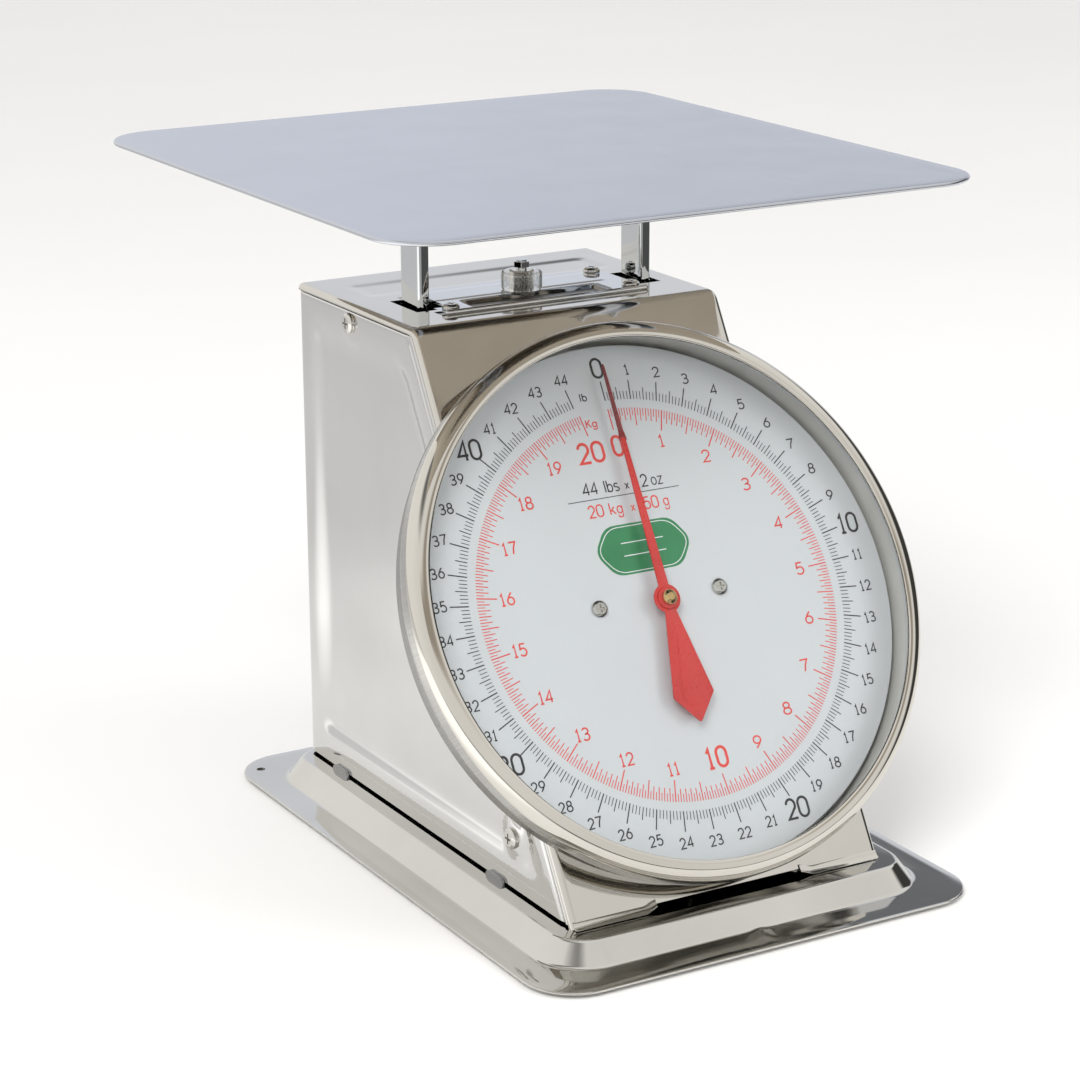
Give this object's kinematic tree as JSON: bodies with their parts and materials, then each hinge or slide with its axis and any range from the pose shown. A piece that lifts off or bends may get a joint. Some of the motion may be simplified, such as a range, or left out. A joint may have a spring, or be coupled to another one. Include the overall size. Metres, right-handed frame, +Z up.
{
  "type": "top-pan spring dial scale",
  "caption": "Top-pan spring scale: flat square platform on posts above a polished housing with a sloping round dial and a red pointer, on a flanged base.",
  "frame": {"origin": "on the floor, under the middle of the object's outline (platform and base together)", "axes": "+Z up, -Y towards the reader (the dial's side), +X to the reader's right"},
  "size_m": [0.2424, 0.3028, 0.2577],
  "materials": {
    "polished_steel": "mirror-polished stainless sheet",
    "chrome_plate": "bright chrome plate",
    "satin_steel": "satin stainless sheet",
    "drum_steel": "turned, lightly brushed steel",
    "zinc_steel": "zinc-plated steel",
    "spring_steel": "drawn spring wire",
    "screw_steel": "bright plated",
    "brass": "machined brass",
    "dial_white": "white enamel with printed scales",
    "pointer_red": "red enamel",
    "lens_glass": "clear flat lens",
    "black_rubber": "moulded rubber",
    "clear_plastic": "clear moulded plastic"
  },
  "bodies": {
    "root": {"base_tray": "polished_steel", "rubber_feet": "black_rubber", "foot_screws": "screw_steel", "left_frame_plate": "zinc_steel", "right_frame_plate": "zinc_steel", "frame_screws": "screw_steel", "top_bridge": "zinc_steel", "stop_bar": "zinc_steel", "stop_pad": "black_rubber", "front_cover": "polished_steel", "left_side_panel": "polished_steel", "right_side_panel": "polished_steel", "rear_panel": "polished_steel", "housing_screws": "screw_steel", "side_screws": "screw_steel", "rear_screws": "screw_steel", "hanger_plate": "chrome_plate", "plate_screws": "screw_steel", "dial_drum": "drum_steel", "dial_back": "drum_steel", "dial_plate": "dial_white", "dial_pillars": "zinc_steel", "dial_screws": "screw_steel", "lens_gasket": "clear_plastic", "lens": "lens_glass", "bezel": "polished_steel", "movement_front_plate": "brass", "movement_rear_plate": "brass", "movement_pillars": "brass", "rack_guides": "brass", "left_spring": "spring_steel", "right_spring": "spring_steel"},
    "carriage": {"left_post": "chrome_plate", "right_post": "chrome_plate", "post_rivets": "zinc_steel", "lower_bridge": "zinc_steel", "spring_pins": "zinc_steel", "drive_arm": "zinc_steel", "drive_pin": "zinc_steel"},
    "platform": {"platform": "satin_steel", "left_rail": "satin_steel", "right_rail": "satin_steel"},
    "rack": {"rack": "brass"},
    "pointer": {"pinion_arbor": "brass", "pinion": "brass", "pointer": "pointer_red", "arbor_nut": "brass"},
    "upper_arm": {"upper_guide_arm": "zinc_steel"},
    "lower_arm": {"lower_guide_arm": "zinc_steel"},
    "hanger": {"hanger_screw": "chrome_plate", "hanger_bar": "zinc_steel", "hanger_pins": "zinc_steel", "screw_nut": "chrome_plate"},
    "zero_knob": {"zero_knob": "clear_plastic", "knob_insert": "chrome_plate"}
  },
  "joints": [
    {"name": "platform_travel", "type": "slide", "parent": "root", "child": "carriage", "axis": [0, 0, -1], "range_m": [0, 0.01582], "stiffness_N_per_m": 12400, "springref_m": -0.0011, "deforming": ["left_spring", "right_spring"]},
    {"name": "platform_lift", "type": "slide", "parent": "carriage", "child": "platform", "axis": [0, 0, 1], "range_m": [0, 0.05]},
    {"name": "rack_slide", "type": "slide", "parent": "root", "child": "rack", "axis": [0, -0.506, -0.8625], "range_m": [0, 0.0185]},
    {"name": "pointer_spin", "type": "hinge", "parent": "root", "child": "pointer", "pos_m": [0, -0.0725, 0.10806], "axis": [0, 0.8625, -0.506], "range_deg": [-1, 351.5]},
    {"name": "upper_arm_swing", "type": "hinge", "parent": "root", "child": "upper_arm", "pos_m": [0, 0.07804, 0.14209], "axis": [1, 0, 0], "range_deg": [-0.2, 18.4]},
    {"name": "lower_arm_swing", "type": "hinge", "parent": "root", "child": "lower_arm", "pos_m": [0, 0.07804, 0.07209], "axis": [1, 0, 0], "range_deg": [-0.2, 18.4]},
    {"name": "zero_knob_turn", "type": "hinge", "parent": "root", "child": "zero_knob", "pos_m": [0, 0.02835, 0.2057], "axis": [0, 0, 1], "range_deg": [-361, 361]},
    {"name": "hanger_lift", "type": "slide", "parent": "root", "child": "hanger", "axis": [0, 0, 1], "range_m": [-0.0007, 0.0007]}
  ],
  "couplings": [
    {"joint": "rack_slide", "follows": "platform_travel", "ratio": 1.1594},
    {"joint": "pointer_spin", "follows": "platform_travel", "rad_per_m": 386.47},
    {"joint": "upper_arm_swing", "follows": "platform_travel", "rad_per_m": 20.084},
    {"joint": "lower_arm_swing", "follows": "platform_travel", "rad_per_m": 20.084},
    {"joint": "zero_knob_turn", "follows": "hanger_lift", "rad_per_m": -8976}
  ]
}
